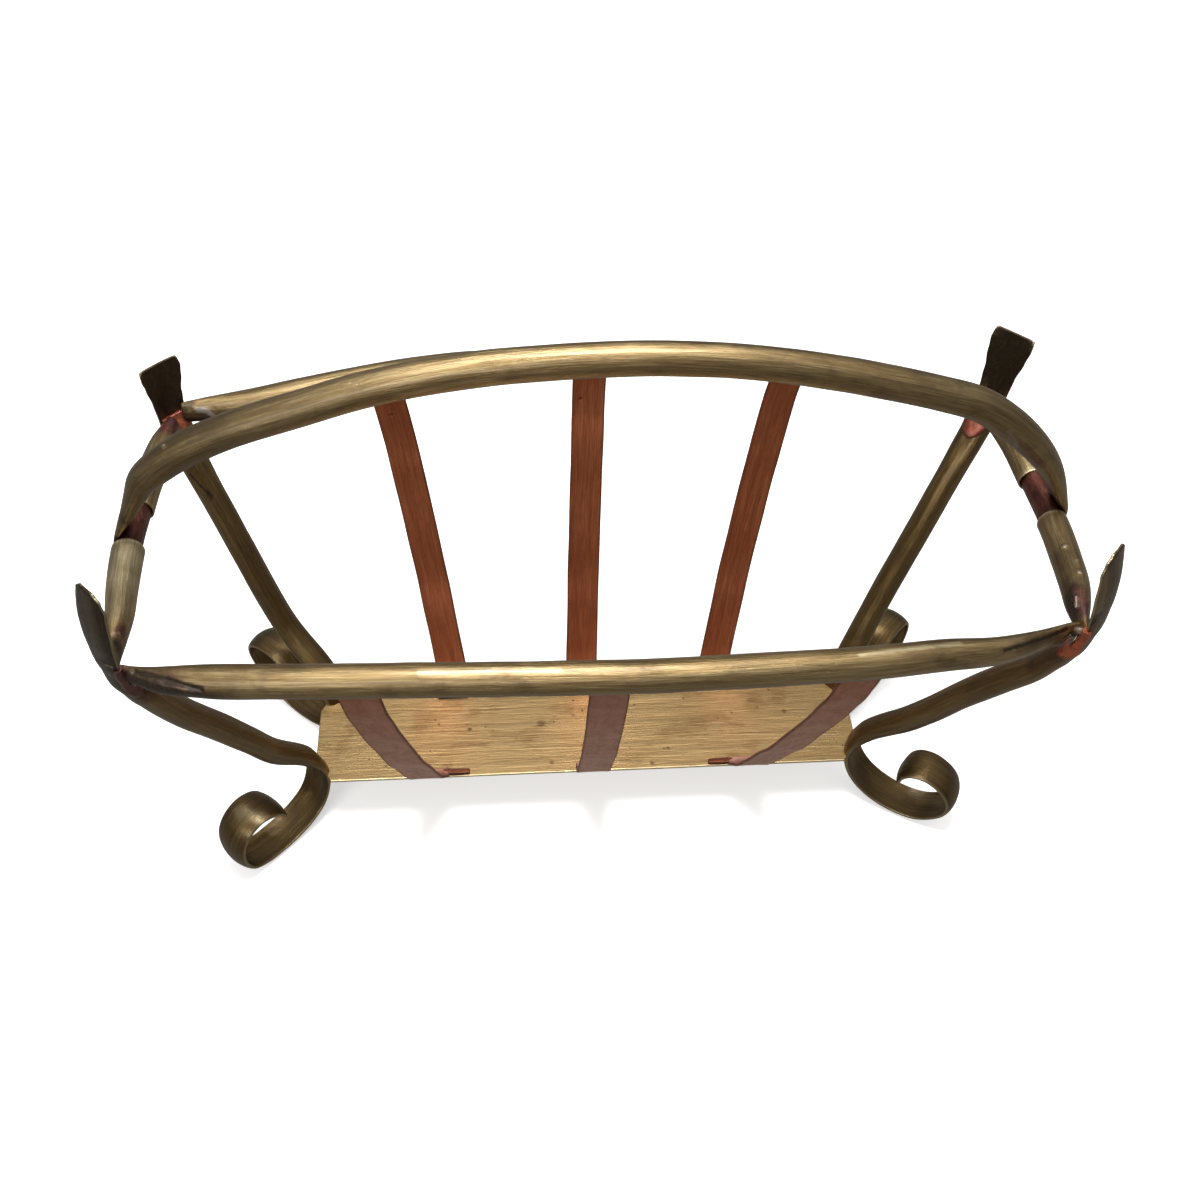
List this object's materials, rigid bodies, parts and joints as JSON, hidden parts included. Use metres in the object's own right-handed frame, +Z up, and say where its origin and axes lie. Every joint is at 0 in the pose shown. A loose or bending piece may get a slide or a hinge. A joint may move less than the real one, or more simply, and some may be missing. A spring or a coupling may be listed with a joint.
{
  "type": "fireside log basket",
  "caption": "Open fireside log basket: brass tube rim, arched handle, scroll-footed legs with spoon finials, copper straps and a flat floor sheet that carries logs.",
  "frame": {"origin": "on the ground, under the middle of the basket's bounding box", "axes": "+X along the basket to its right end, -Y towards its front, +Z up"},
  "size_m": [0.4898, 0.2484, 0.3167],
  "materials": {
    "aged_brass": "aged olive-gold brass tube, satin, streaked lengthwise",
    "dark_brass": "dark tarnished brass tube and flattened strip, satin",
    "sheet_brass": "lighter golden brass sheet, scratched along its length",
    "copper_strap": "copper strip with brown and mauve tarnish, stated as brass because the list has no copper",
    "dark_copper": "heat-darkened copper, stated as brass because the list has no copper",
    "rivet_metal": "dull grey soft-metal rivet"
  },
  "bodies": {
    "root": {"base_plate": "sheet_brass", "leg_front_left": "dark_brass", "leg_front_right": "dark_brass", "leg_back_left": "dark_brass", "leg_back_right": "dark_brass", "front_rail": "aged_brass", "back_rail": "aged_brass", "end_rail_left_front": "aged_brass", "end_rail_left_rear": "aged_brass", "end_rail_right_front": "aged_brass", "end_rail_right_rear": "aged_brass", "collar_left": "dark_copper", "collar_right": "dark_copper", "handle": "aged_brass", "strap_front_left": "copper_strap", "strap_front_centre": "copper_strap", "strap_front_right": "copper_strap", "strap_back_left": "copper_strap", "strap_back_centre": "copper_strap", "strap_back_right": "copper_strap", "corner_lug_front_left": "dark_copper", "corner_lug_front_right": "dark_copper", "corner_lug_back_left": "dark_copper", "corner_lug_back_right": "dark_copper", "corner_rivet_front_left": "rivet_metal", "corner_rivet_front_right": "rivet_metal", "corner_rivet_back_left": "rivet_metal", "corner_rivet_back_right": "rivet_metal"}
  },
  "joints": []
}
